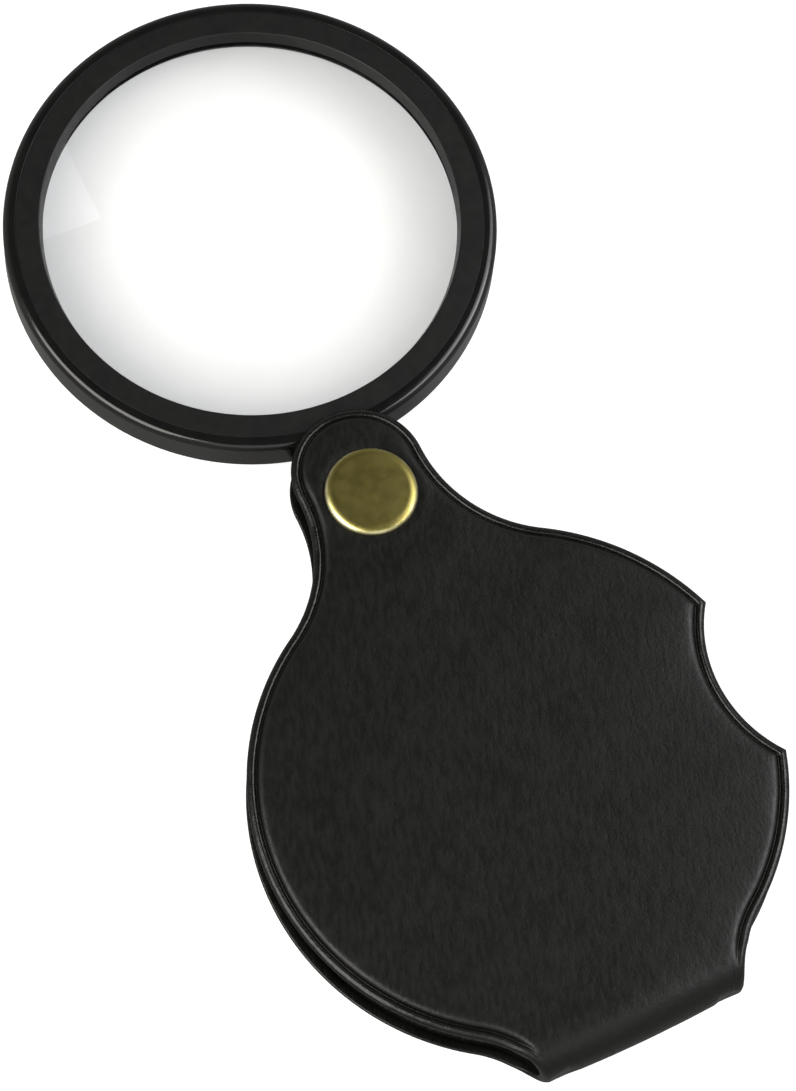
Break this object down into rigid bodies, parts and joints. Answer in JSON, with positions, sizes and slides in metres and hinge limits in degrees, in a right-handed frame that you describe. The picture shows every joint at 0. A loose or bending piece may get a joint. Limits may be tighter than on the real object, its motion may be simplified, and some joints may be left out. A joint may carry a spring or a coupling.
{
  "type": "folding pocket magnifier",
  "caption": "Folding pocket magnifier: a round rimmed lens swings on a brass rivet out of a flat folded black leatherette pouch with a thumb notch.",
  "frame": {"origin": "on the rivet's axis, at the flat outer face of the back rivet cap", "axes": "+Z along the rivet from the back cover to the front cover, +Y from the pouch's fold past the rivet towards the swung-out lens, +X towards the cover edge with the thumb notch"},
  "size_m": [0.063, 0.1384, 0.0102],
  "materials": {
    "leatherette": "matte fine grain",
    "lining": "matte",
    "board": "matte",
    "frame_plastic": "satin moulded",
    "ring_plastic": "matte moulded",
    "lens_glass": "clear polished",
    "antique_brass": "antique, brushed",
    "rivet_metal": "plain"
  },
  "bodies": {
    "pouch": {"pouch_skin": "leatherette", "pouch_lining": "lining", "front_board": "board", "back_board": "board", "rivet_front_cap": "antique_brass", "rivet_socket": "rivet_metal", "rivet_post": "rivet_metal", "rivet_back_cap": "antique_brass"},
    "lens_assembly": {"lens_frame": "frame_plastic", "retaining_ring": "ring_plastic", "lens": "lens_glass"}
  },
  "joints": [
    {"name": "lens_swing", "type": "hinge", "parent": "pouch", "child": "lens_assembly", "pos_m": [0, 0, 0.0051], "axis": [0, 0, 1], "continuous": true}
  ]
}
